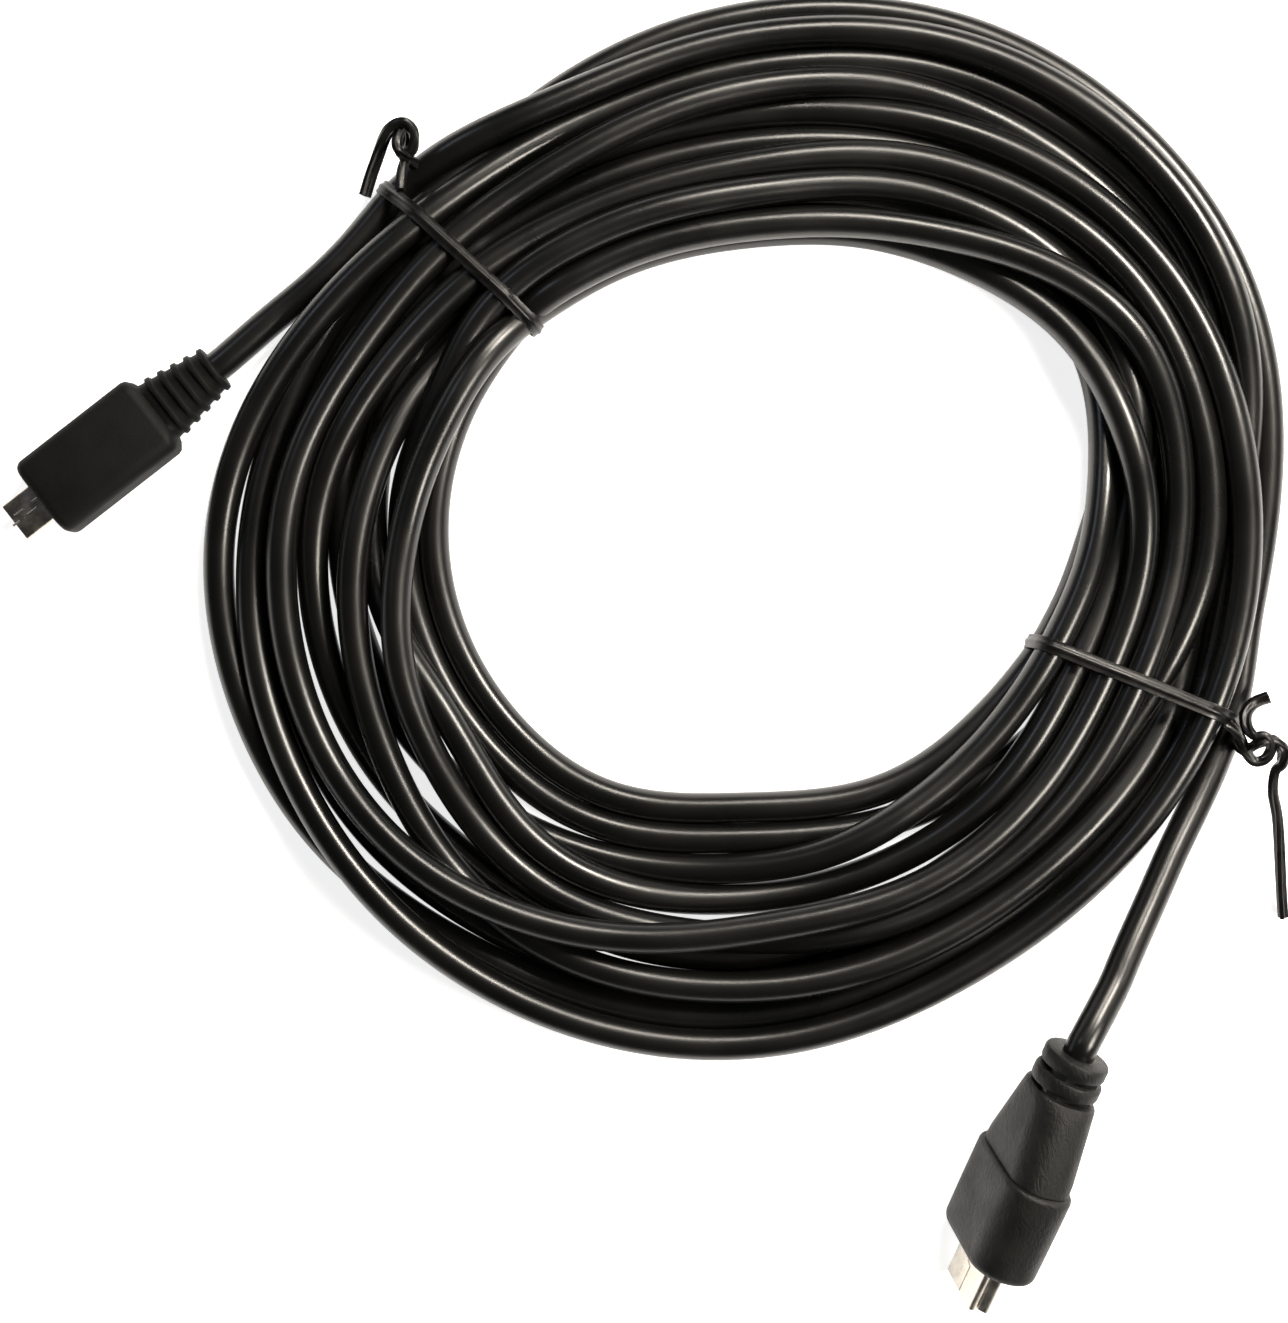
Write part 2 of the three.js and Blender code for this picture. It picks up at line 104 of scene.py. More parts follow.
TIES = {"left": 137.0, "right": -21.9}
RIBBON_WIDTH = 2.4
RIBBON_THICKNESS = 0.8

# A tie's ribbon lifts the turns above it: how far, and over how many degrees on both sides.
TIE_LIFT = RIBBON_THICKNESS + 0.3
TIE_LIFT_REACH = 7
TIE_LIFT_SLOPE = 5

# The two plugs, in millimetres; places along them are measured from the front of the body.
MICRO = {
    "shift": Vector((-0.7, 1.8, 0)),
    "heading": math.radians(-142.1),
    "body_length": 23.6,
    "body_width": 14.0,
    "body_thickness": 7.6,
    "neck_length": 11.8,
    "neck_wide": 11.6,
    "neck_narrow": 7.8,
    "ribs": 5,
    "shell_width": 6.85,
    "shell_height": 1.8,
    "shell_exposed": 5.8,
    "shell_corner": 0.5,
    "shell_lean": 0.7,
    "shell_wall": 0.25,
    "shell_back": -2.5,
    "seam_places": (0.9, 2.4, 4.1),
    "seam_swing": 0.45,
    "seam_gap": 0.16,
    "seam_depth": 0.2,
    "carrier_narrower": 1.4,
    "contact_pitch": 0.65,
    "contact_width": 0.4,
    "contact_end": 4.9,
    "stop_height": 2.3,
}
MINI = {
    "shift": Vector((-2.2, 1.1, 0.8)),
    "heading": math.radians(-110.8),
    "pitch": math.radians(14),
    "body_length": 15.4,
    "body_width": 20.0,
    "body_thickness": 11.5,
    "cone_length": 14.2,
    "cone_width": 11.8,
    "cone_thickness": 10.2,
    "collar_diameter": 10.8,
    "collar_length": 2.5,
    "collars": 2,
    "groove_width": 0.8,
    "shell_width": 10.6,
    "shell_height": 3.6,
    "shell_exposed": 8.2,
    "shell_corner": 0.5,
    "shell_groove": 0.55,
    "shell_wall": 0.3,
    "shell_back": -3.5,
    "seam_places": (1.7, 3.3),
    "seam_swing": 0.6,
    "seam_gap": 0.2,
    "seam_depth": 0.26,
    "carrier_narrower": 1.1,
    "contact_pitch": 1.2,
    "contact_width": 0.7,
    "contact_end": 6.2,
    "roll": math.radians(16),
    "stop_centre": Vector((-0.32, 1.97, -6.92)),
}

# One rib and the gap after it: the share of the pitch, and the depth below the crest.
RIB_PROFILE = [(0, 0.3), (0.05, 0.05), (0.1, 0), (0.34, 0)]
RIB_PROFILE += [(0.4, 0.08), (0.46, 0.4), (0.55, 0.5), (0.94, 0.5)]

# The small plug's shoulder: how far past the neck, and how far in from the body's sides.
MICRO_SHOULDER = [(0, 1.7), (0.25, 1.1), (1.1, 0.2), (1.8, 0)]

# One collar of the wide plug: how far along it, how much thinner, and how deep its slots are.
COLLAR_PROFILE = [(0, 1.0, 0), (0.15, 0.35, 0), (0.5, 0, 0), (2.1, 0, 0), (2.4, 0.3, 0), (2.5, 0.5, 1.2)]

# The step of the wide plug: how far past the cone, how much narrower and thinner, and the corners.
MINI_STEP = [(-0.5, 1.5, 1.3, 4.4), (-0.35, 1.9, 1.6, 4.3), (-0.2, 0.7, 0.5, 4.7)]
MINI_STEP += [(0.1, 0.15, 0.1, 4.9), (0.5, 0, 0, 4.9)]

# One contact strip: half widths as a share, and the height over the tongue.
CONTACT_SECTION = [(-1, -0.08), (1, -0.08), (1, 0.06), (0.6, 0.09), (-0.6, 0.09), (-1, 0.06)]
CONTACT_COUNT = 5
CONTACT_START = 0.9

# The slots in the small shell's top as the photograph shows them: right and down at both ends.
MICRO_SLOTS = [
    ((31.7, 501.7), (37.5, 497.5)),
    ((27.5, 514.2), (36.7, 507.5)),
    ((14.2, 515.8), (23.3, 509.2)),
    ((13.3, 525.8), (19.7, 520.8)),
]
SLOT_EDGE_RADIUS = 0.2
SLOT_EDGE_HEIGHT = 0.09
SLOT_EDGE_SINK = 0.02

FLOOR_REACH = 3.0

# The studio's walls are pale near the horizon and dark above: height as a share, and brightness.
HORIZON = (0.12, 0.85)
SKY = (0.22, 0.035)

# Square lamps that point at the coil: place and side in metres, power in watts, and colour.
WARM = (1.0, 0.93, 0.83)
COOL = (0.75, 0.83, 1.0)
LAMPS = {
    "key_upper_right": ((0.24, 0.2, 0.33), 0.09, 2.3, WARM),
    "key_right": ((0.26, -0.08, 0.28), 0.09, 1.0, WARM),
    "key_top": ((0.08, 0.27, 0.30), 0.09, 0.9, WARM),
    "fill_upper_left": ((-0.6, 0.5, 0.8), 0.2, 0.5, COOL),
}


# Placing
def plug_frame(across, up, tip, origin):
    """The matrix from a plug's own millimetres, with its front face at z = 0, to the scene."""
    columns = Matrix((across, up, tip)).transposed().to_4x4()
    return Matrix.Translation(origin * MM) @ columns @ Matrix.Scale(MM, 4)


def micro_frame():
    up = Vector((0, 0, 1))
    tip = Vector((math.cos(MICRO["heading"]), math.sin(MICRO["heading"]), 0))
    stop = Vector(mounts["micro_plug_stop"]["pos_m"]) / MM
    origin = stop - up * MICRO["stop_height"] + MICRO["shift"]
    return plug_frame(up.cross(tip), up, tip, origin)


def mini_frame():
    level = Vector((math.cos(MINI["heading"]), math.sin(MINI["heading"]), 0))
    tip = level * math.cos(MINI["pitch"]) - Vector((0, 0, math.sin(MINI["pitch"])))
    side = Vector((0, 0, 1)).cross(tip).normalized()
    upright = tip.cross(side)
    width = upright * math.cos(MINI["roll"]) + side * math.sin(MINI["roll"])
    stop = Vector(mounts["mini_plug_stop"]["pos_m"]) / MM
    origin = stop + MINI["stop_centre"] + MINI["shift"]
    return plug_frame(width, tip.cross(width), tip, origin)


MICRO_FRAME = micro_frame()
MINI_FRAME = mini_frame()
MICRO_NECK_END = -MICRO["body_length"] - MICRO["neck_length"]
MINI_NECK_END = -MINI["body_length"] - MINI["cone_length"]
MINI_NECK_END -= MINI["collars"] * (MINI["collar_length"] + MINI["groove_width"])


def on_axis(matrix, at):
    """A point on a plug's axis, in millimetres."""
    return (matrix @ Vector((0, 0, at))) / MM


def polar(point):
    """Bearing in degrees, radius and height of a point, seen from the coil's middle."""
    offset = point - coil_centre
    return math.degrees(math.atan2(offset.y, offset.x)), math.hypot(offset.x, offset.y), point.z


def seen_at(right, down, height):
    """The place at a height that the photograph shows this many pixels right and down."""
    middle = coil_centre - PHOTO_MIDDLE_TO_COIL
    scale = PIXELS_PER_MM * CAMERA_HEIGHT / (CAMERA_HEIGHT - height)
    x = middle.x + (right - PHOTO_WIDTH / 2) / scale
    y = middle.y - (down - PHOTO_HEIGHT / 2) / scale
    return Vector((x, y, height))


def cartesian(bearing, radius, height):
    angle = math.radians(bearing)
    x = coil_centre.x + radius * math.cos(angle)
    y = coil_centre.y + radius * math.sin(angle)
    return Vector((x, y, height))


# Camera and cord
def add_camera():
    data = bpy.data.cameras.new("camera")
    data.sensor_fit = "HORIZONTAL"
    data.lens = data.sensor_width * CAMERA_HEIGHT * PIXELS_PER_MM / PHOTO_WIDTH
    data.clip_start = 0.01
    camera = bpy.data.objects.new("camera", data)
    camera.location = (coil_centre - PHOTO_MIDDLE_TO_COIL + Vector((0, 0, CAMERA_HEIGHT))) * MM
    bpy.context.scene.collection.objects.link(camera)
    bpy.context.scene.camera = camera


def layer_height(layer):
    return CABLE_DIAMETER / 2 + (int(layer) - 1) * LAYER_RISE


def cord_knots():
    """The whole cable as knots of bearing, radius and height, from the micro neck to the mini neck."""
    knots = [polar(on_axis(MICRO_FRAME, MICRO_NECK_END - away)) for away in (0, 2)]
    knots += MICRO_LEAD
    bearing = FIRST_BEARING
    for radii, layers in TURNS:
        for radius, layer in zip(radii, layers):
            knots.append((bearing, radius, layer_height(layer)))
            bearing -= READING_STEP
    wound = bearing + READING_STEP
    knots += [(wound + at, radius, height) for at, radius, height in MINI_LEAD]
    ends = [polar(on_axis(MINI_FRAME, MINI_NECK_END - away)) for away in (2, 0)]
    knots += [(wound + at, radius, height) for at, radius, height in ends]
    return np.array(knots)


def smooth_reading(places, values, at):
    """A cubic curve through uneven readings. places rises."""
    step = np.diff(places)
    slope = np.diff(values) / step
    tangent = np.empty_like(values)
    tangent[0], tangent[-1] = slope[0], slope[-1]
    tangent[1:-1] = (slope[1:] * step[:-1] + slope[:-1] * step[1:]) / (step[1:] + step[:-1])
    index = np.clip(np.searchsorted(places, at) - 1, 0, len(step) - 1)
    t = (at - places[index]) / step[index]
    lift = (at - places[index]) * (1 - t)
    here, after = values[index], values[index + 1]
    blend = t * t * (3 - 2 * t)
    return (
        here
        + (after - here) * blend
        + lift * ((1 - t) * tangent[index] - t * tangent[index + 1])
    )


def tie_lift(bearings):
    """How far the bundle is lifted off the floor where a tie's ribbon passes below it."""
    lift = np.zeros_like(bearings)
    for tie_bearing in TIES.values():
        away = np.abs((bearings - tie_bearing + 180) % 360 - 180)
        lift = np.maximum(lift, TIE_LIFT * np.clip((TIE_LIFT_REACH - away) / TIE_LIFT_SLOPE, 0, 1))
    return lift


def edge_at(edge, bearings):
    """The bundle's edge at bearings, through its readings all round."""
    count = len(edge)
    places = np.arange(-3, count + 3)
    values = np.array([edge[place % count] for place in places])
    return smooth_reading(places * 360 / count, values, bearings % 360)


def settle(bearings, radius, height, free):
    """Lets the turns sink and pushes them apart in every section, near the radius each was read at."""
    per_turn = round(360 / STATION_STEP)
    most = math.ceil(len(radius) / per_turn)
    section = np.arange(per_turn * most).reshape(most, per_turn).T
    present = section < len(radius)
    section = np.where(present, section, 0)
    pairs = present[:, :, None] & present[:, None, :] & ~np.eye(most, dtype=bool)
    target = radius.copy()
    floor = CABLE_DIAMETER / 2 + tie_lift(bearings)
    inner = edge_at(INNER_EDGE, bearings) + CABLE_DIAMETER / 2
    outer = edge_at(OUTER_EDGE, bearings) - CABLE_DIAMETER / 2
    for step in range(SETTLING_STEPS):
        rest = 1 - step / SETTLING_STEPS
        drift = radius - target
        drift[1:-1] += BEND_SMOOTHING * (drift[:-2] + drift[2:] - 2 * drift[1:-1]) / 2
        radius = np.where(free > 0, target + drift * (1 - HOLD * rest), radius)
        bend = np.zeros_like(height)
        bend[1:-1] = height[:-2] + height[2:] - 2 * height[1:-1]
        height = height + free * (BEND_SMOOTHING * bend / 2 - GRAVITY)
        across = radius[section][:, :, None] - radius[section][:, None, :]
        above = height[section][:, :, None] - height[section][:, None, :]
        apart = np.sqrt(across**2 + above**2) + 1e-9
        push = np.where(pairs, np.clip(CABLE_DIAMETER - apart, 0, None), 0) / apart * PUSH
        np.add.at(radius, section, np.where(present, (push * across).sum(2), 0) * free[section])
        np.add.at(height, section, np.where(present, (push * above).sum(2), 0) * free[section])
        height = np.where(free > 0, np.maximum(height, floor), height)
        radius += free * WALL_FIRMNESS * (np.clip(radius, inner, outer) - radius)
    for _ in range(EASING_STEPS):
        for line in (radius, height):
            line[1:-1] += free[1:-1] * (line[:-2] + line[2:] - 2 * line[1:-1]) / 4
    return radius, np.maximum(height, np.where(free > 0, floor, 0))


def cord_path():
    """The settled centre line of the whole cable, with each station's bearing, radius and height."""
    knots = cord_knots()
    first = math.floor(knots[2][0] / STATION_STEP) * STATION_STEP
    last = knots[-3][0]
    bearings = np.arange(first, last, -STATION_STEP)
    radius = smooth_reading(-knots[:, 0], knots[:, 1], -bearings)
    height = smooth_reading(-knots[:, 0], knots[:, 2], -bearings)
    wound_end = FIRST_BEARING - READING_STEP * (sum(len(row[0]) for row in TURNS) - 1)
    free = np.clip((MICRO_LEAD[-1][0] - bearings) / LEAD_BLEND, 0, 1)
    free *= np.clip((bearings - wound_end - MINI_LEAD[0][0]) / LEAD_BLEND, 0, 1)
    radius, height = settle(bearings, radius, height, free)
    points = [cartesian(*station) for station in zip(bearings, radius, height)]
    start = [on_axis(MICRO_FRAME, MICRO_NECK_END + inside) for inside in (4, 2, 0, -2)]
    end = [on_axis(MINI_FRAME, MINI_NECK_END + inside) for inside in (-2, 0, 2, 4)]
    return start + points + end, (bearings, radius, height)


def refined(points, parts=2):
    """The points with more between them, on a smooth curve through them."""
    result = []
    for i in range(len(points) - 1):
        before = points[max(i - 1, 0)]
        here, after = points[i], points[i + 1]
        beyond = points[min(i + 2, len(points) - 1)]
        for part in range(parts):
            t = part / parts
            bend = (2 * before - 5 * here + 4 * after - beyond) * t * t
            twist = (3 * here - 3 * after + beyond - before) * t**3
            result.append(here + ((after - before) * t + bend + twist) / 2)
    result.append(points[-1])
    return result


# Materials
def node_material(name, color, roughness, metallic=0.0):
    material = bpy.data.materials.new(name)
    material.use_nodes = True
    shader = material.node_tree.nodes["Principled BSDF"]
    shader.inputs["Base Color"].default_value = (*color, 1)
    shader.inputs["Roughness"].default_value = roughness
    shader.inputs["Metallic"].default_value = metallic
    return material, shader


def add_noise(material, scale, detail=4.0, stretch=(1, 1, 1)):
    """A noise in the object's own metres, wider along the axes with a small stretch."""
    tree = material.node_tree
    place = tree.nodes.new("ShaderNodeTexCoord")
    mapping = tree.nodes.new("ShaderNodeMapping")
    mapping.inputs["Scale"].default_value = stretch
    noise = tree.nodes.new("ShaderNodeTexNoise")
    noise.inputs["Scale"].default_value = scale
    noise.inputs["Detail"].default_value = detail
    tree.links.new(place.outputs["Object"], mapping.inputs["Vector"])
    tree.links.new(mapping.outputs["Vector"], noise.inputs["Vector"])
    return noise


def drive_roughness(material, shader, noise, low, high):
    tree = material.node_tree
    spread = tree.nodes.new("ShaderNodeMapRange")
    limits = {"From Min": 0.3, "From Max": 0.7, "To Min": low, "To Max": high}
    for socket, value in limits.items():
        spread.inputs[socket].default_value = value
    tree.links.new(noise.outputs["Fac"], spread.inputs["Value"])
    tree.links.new(spread.outputs["Result"], shader.inputs["Roughness"])


def set_ramp(ramp, *stops):
    for element, (position, color) in zip(ramp.color_ramp.elements, stops):
        element.position = position
        element.color = (*color, 1)


def drive_color(material, shader, noise, dark, pale):
    tree = material.node_tree
    ramp = tree.nodes.new("ShaderNodeValToRGB")
    set_ramp(ramp, (0.35, dark), (0.7, pale))
    tree.links.new(noise.outputs["Fac"], ramp.inputs["Fac"])
    tree.links.new(ramp.outputs["Color"], shader.inputs["Base Color"])


def add_bump(material, shader, noise, depth):
    """A bump of a depth in metres, chained after any bump that is there already."""
    tree = material.node_tree
    bump = tree.nodes.new("ShaderNodeBump")
    bump.inputs["Strength"].default_value = 1.0
    bump.inputs["Distance"].default_value = depth
    tree.links.new(noise.outputs["Fac"], bump.inputs["Height"])
    if shader.inputs["Normal"].is_linked:
        earlier = shader.inputs["Normal"].links[0].from_socket
        tree.links.new(earlier, bump.inputs["Normal"])
    tree.links.new(bump.outputs["Normal"], shader.inputs["Normal"])


def jacket_material():
    material, shader = node_material("jacket_pvc", (0.005, 0.005, 0.005), 0.33)
    wear = add_noise(material, scale=60, detail=3)
    drive_roughness(material, shader, wear, low=0.25, high=0.33)
    drive_color(material, shader, wear, dark=(0.002, 0.0022, 0.0021), pale=(0.004, 0.0038, 0.0034))
    add_bump(material, shader, add_noise(material, scale=140, detail=2), depth=0.00006)
    add_bump(material, shader, add_noise(material, scale=2600, detail=3), depth=0.000008)
    return material


def overmould_material(name, color, pale, low, high, grain):
    material, shader = node_material(name, color, high)
    shader.inputs["Specular IOR Level"].default_value = 0.22
    blotch = add_noise(material, scale=220, detail=5)
    drive_roughness(material, shader, blotch, low, high)
    drive_color(material, shader, blotch, color, pale)
    add_bump(material, shader, add_noise(material, scale=2300), depth=grain)
    return material, shader


def matte_material():
    """The small plug's body: a deep black with a coarse grain."""
    color, pale = (0.001, 0.0011, 0.0009), (0.0024, 0.0025, 0.002)
    return overmould_material("micro_body_pvc", color, pale, low=0.6, high=0.72, grain=0.00004)[0]


def scuffed_material():
    """The wide plug's body: short pale creases over the fine grain."""
    color, pale = (0.002, 0.0023, 0.002), (0.004, 0.0043, 0.0035)
    material, shader = overmould_material("mini_body_pvc", color, pale, low=0.46, high=0.6, grain=0.00003)
    crease = add_noise(material, scale=900, detail=6, stretch=(1.0, 0.45, 0.6))
    crease.inputs["Distortion"].default_value = 2.2
    add_bump(material, shader, crease, depth=0.00013)
    shader.inputs["Specular IOR Level"].default_value = 0.36
    return material


def nickel_material():
    material, shader = node_material("nickel_plate", (0.66, 0.61, 0.54), 0.22, metallic=1.0)
    haze = add_noise(material, scale=500)
    drive_roughness(material, shader, haze, low=0.24, high=0.4)
    drive_color(material, shader, haze, dark=(0.58, 0.53, 0.46), pale=(0.74, 0.69, 0.61))
    brushing = add_noise(material, scale=3000, detail=2, stretch=(1, 1, 0.15))
    add_bump(material, shader, brushing, depth=0.000006)
    return material


def insert_material():
    material, shader = node_material("carrier_plastic", (0.012, 0.012, 0.012), 0.45)
    add_bump(material, shader, add_noise(material, scale=1800, detail=3), depth=0.00001)
    drive_roughness(material, shader, add_noise(material, scale=700, detail=3), low=0.38, high=0.52)
    return material


def gold_material():
    material, shader = node_material("contact_gold", (0.83, 0.60, 0.25), 0.25, metallic=1.0)
    drive_roughness(material, shader, add_noise(material, scale=1500, detail=2), low=0.2, high=0.34)
    return material


def ribbon_material():
    material, shader = node_material("tie_vinyl", (0.011, 0.011, 0.011), 0.3)
    wear = add_noise(material, scale=450)
    drive_roughness(material, shader, wear, low=0.24, high=0.42)
    drive_color(material, shader, wear, dark=(0.002, 0.002, 0.002), pale=(0.005, 0.0048, 0.0046))
    shader.inputs["Specular IOR Level"].default_value = 0.35
    add_bump(material, shader, add_noise(material, scale=1500, detail=3), depth=0.00002)
    return material


def floor_material():
    material, shader = node_material("pale_floor", (0.9, 0.9, 0.9), 0.85)
    shader.inputs["Emission Color"].default_value = (1, 1, 1, 1)
    shader.inputs["Emission Strength"].default_value = 0.8
    patches = add_noise(material, scale=9, detail=2)
    drive_color(material, shader, patches, dark=(0.89, 0.89, 0.89), pale=(0.91, 0.91, 0.905))
    return material


# Mesh pieces
def face_outward(mesh):
    edited = bmesh.new()
    edited.from_mesh(mesh)
    bmesh.ops.recalc_face_normals(edited, faces=edited.faces)
    edited.to_mesh(mesh)
    edited.free()


def mesh_piece(name, verts, faces, material, smooth_angle=35):
    mesh = bpy.data.meshes.new(name)
    mesh.from_pydata([tuple(v) for v in verts], [], faces)
    face_outward(mesh)
    mesh.polygons.foreach_set("use_smooth", [True] * len(mesh.polygons))
    mesh.set_sharp_from_angle(angle=math.radians(smooth_angle))
    mesh.materials.append(material)
    mesh.validate()
    piece = bpy.data.objects.new(name, mesh)
    bpy.context.scene.collection.objects.link(piece)
    return piece


def skin(rows, closed=False, first=0):
    """The faces of a closed skin through rows of points, each row a ring of the same count."""
    count = len(rows[0])
    faces = []
    spans = len(rows) if closed else len(rows) - 1
    for row in range(spans):
        here, after = first + row * count, first + (row + 1) % len(rows) * count
        for i in range(count):
            j = (i + 1) % count
            faces.append((here + i, here + j, after + j, after + i))
    if not closed:
        last = first + (len(rows) - 1) * count
        faces.append(tuple(reversed(range(first, first + count))))
        faces.append(tuple(range(last, last + count)))
    return faces


def loft(name, rows, matrix, material, closed=False, smooth_angle=35):
    verts = [matrix @ point for row in rows for point in row]
    return mesh_piece(name, verts, skin(rows, closed), material, smooth_angle)


def rounded_outline(width, thickness, corner, per_corner=9):
    """Points round a rounded rectangle, counter-clockwise."""
    corner = min(corner, width / 2 - 0.01, thickness / 2 - 0.01)
    points = []
    for quarter, (sx, sy) in enumerate(((1, 1), (-1, 1), (-1, -1), (1, -1))):
        for step in range(per_corner):
            angle = math.pi / 2 * (quarter + step / (per_corner - 1))
            x = sx * (width / 2 - corner) + corner * math.cos(angle)
            y = sy * (thickness / 2 - corner) + corner * math.sin(angle)
            points.append((x, y))
    return points


def ring(outline, at):
    return [Vector((x, y, at)) for x, y in outline]


def rounded_edge(steps=5):
    """Along a rounded edge, step by step: how far over it, and how far in, as shares of its size."""
    angles = [math.pi / 2 * turn / steps for turn in range(1, steps + 1)]
    return [(math.sin(angle), 1 - math.cos(angle)) for angle in angles]


def place_piece(piece, slot, *nodes):
    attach(piece, "root")
    if nodes:
        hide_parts(*nodes)
    return piece


def add_cord(stations_path):
    points = refined(stations_path)
    data = bpy.data.curves.new("cable", "CURVE")
    data.dimensions = "3D"
    data.bevel_depth = CABLE_DIAMETER / 2 * MM
    data.bevel_resolution = 8
    data.use_fill_caps = True
    data.twist_mode = "MINIMUM"
    spline = data.splines.new("POLY")
    spline.points.add(len(points) - 1)
    spline.use_smooth = True
    for place, point in zip(spline.points, points):
        place.co = (*(point * MM), 1)
    data.materials.append(jacket_material())
    piece = bpy.data.objects.new("cable", data)
    bpy.context.scene.collection.objects.link(piece)
    place_piece(piece, "cable_jacket", "coil", "lead_to_micro_plug", "lead_to_mini_plug")
    length = sum((b - a).length for a, b in zip(points, points[1:]))
    return piece, points[0], length


# Plugs
def micro_body(material):
    """A flat moulded body with faceted long edges, and a ribbed neck that narrows to the cable."""
    width, thickness = MICRO["body_width"], MICRO["body_thickness"]
    length, neck = MICRO["body_length"], MICRO["neck_length"]
    narrow, wide, tall = MICRO["neck_narrow"], MICRO["neck_wide"], thickness - 1.2
    front_depth, front_inset = 1.5, 1.1

    def body(at, inset):
        return ring(rounded_outline(width - 2 * inset, thickness - 1.4 * inset, 2.2), at)

    rows = []
    pitch = neck / MICRO["ribs"]
    for rib in range(MICRO["ribs"]):
        start = -length - neck + rib * pitch
        for share, depth in RIB_PROFILE:
            along = (rib + share) / MICRO["ribs"]
            w = narrow + (wide - narrow) * along - 2 * depth
            t = narrow + (tall - narrow) * along - 2 * depth
            rows.append(ring(rounded_outline(w, t, t / 2), start + share * pitch))
    rows += [body(-length + past, inset) for past, inset in MICRO_SHOULDER]
    rows.append(body(-front_depth, 0))
    for over, inward in rounded_edge():
        rows.append(body(-front_depth + front_depth * over, front_inset * inward))
    piece = loft("micro_plug_body", rows, MICRO_FRAME, material)
    return place_piece(piece, "moulded_plug_body", "micro_overmould")


def collar(at, diameter, depth):
    """A round section with a slot cut on its four sides, deepest in the middle of each."""
    points = []
    for x, y in rounded_outline(2, 2, 1):
        angle = math.atan2(y, x)
        slot = depth * min(1, max(0, 5 * (abs(math.cos(2 * angle)) - 0.62)))
        radius = diameter / 2 - slot
        points.append(Vector((radius * math.cos(angle), radius * math.sin(angle), at)))
    return points


def mini_body(material):
    """A rounded body that steps down to a tapered neck with slotted collars."""
    width, thickness = MINI["body_width"], MINI["body_thickness"]
    length, cone = MINI["body_length"], MINI["cone_length"]
    cone_width, cone_thickness, cone_spans = MINI["cone_width"], MINI["cone_thickness"], 7
    front_depth, front_inset = 1.6, 1.5

    def box(at, w, t, corner):
        return ring(rounded_outline(w, t, corner), at)

    rows = []
    pitch = MINI["collar_length"] + MINI["groove_width"]
    for index in range(MINI["collars"]):
        start = MINI_NECK_END + index * pitch
        size = MINI["collar_diameter"] - 0.5 * (MINI["collars"] - 1 - index)
        rows += [collar(start + past, size - thinner, depth) for past, thinner, depth in COLLAR_PROFILE]
        thinner, depth = COLLAR_PROFILE[-1][1:]
        rows.append(collar(start + pitch - 0.1, size - thinner, depth))
    cone_start = -length - cone
    rows.append(box(cone_start, cone_width - 0.5, cone_thickness - 0.5, 4.2))
    rows.append(box(cone_start + 0.4, cone_width, cone_thickness, 4.3))
    for step in range(1, cone_spans):
        share = step / cone_spans
        w = cone_width + (width - 1.4 - cone_width) * share
        t = cone_thickness + (thickness - 1.0 - cone_thickness) * share
        rows.append(box(cone_start + (cone - 0.6) * share, w, t, 4.4))
    for past, narrower, thinner, corner in MINI_STEP:
        rows.append(box(-length + past, width - narrower, thickness - thinner, corner))
    rows.append(box(-length / 2, width, thickness, 4.9))
    rows.append(box(-front_depth, width - 0.2, thickness - 0.1, 4.8))
    for over, inward in rounded_edge():
        inset = 0.2 + front_inset * inward
        rows.append(box(-front_depth + front_depth * over, width - inset, thickness - inset, 4.6))
    piece = loft("mini_plug_body", rows, MINI_FRAME, material)
    return place_piece(piece, "moulded_plug_body", "mini_overmould")


def shell_outline(width, height, corner, groove=0.0, lean=0.0):
    """The outline of a folded shell: grooved narrow sides, or lower edges that lean in."""
    points = []
    for x, y in rounded_outline(width, height, corner, 6):
        inward = lean * max(0, (-y / height + 0.5) - 0.35) / 0.65
        points.append((x - math.copysign(inward, x), y))
    if groove:
        rises = (-1, -0.6, -0.25, 0, 0.25, 0.6, 1)
        side = [(width / 2 - groove * math.cos(rise * math.pi / 2) ** 2, rise * 0.95) for rise in rises]
        opposite = [(-x, -y) for x, y in side]
        half = len(points) // 2
        points = side + points[:half] + opposite + points[half:]
    return points


def shell_rows(outline, wall, length, back):
    """Rows that run out along the outside, round the front edge, and back inside."""

    def inset(amount):
        shrunk = []
        count = len(outline)
        for i, (x, y) in enumerate(outline):
            bx, by = outline[i - 1]
            ax, ay = outline[(i + 1) % count]
            normal = Vector((ay - by, bx - ax)).normalized()
            shrunk.append((x - normal.x * amount, y - normal.y * amount))
        return shrunk

    edge = wall * 0.35
    rows = [ring(outline, back), ring(outline, length - edge)]
    rows.append(ring(inset(edge * 0.3), length - edge * 0.3))
    rows.append(ring(inset(edge), length))
    rows.append(ring(inset(wall - edge * 0.3), length))
    rows.append(ring(inset(wall), length - edge))
    rows.append(ring(inset(wall), back))
    return rows


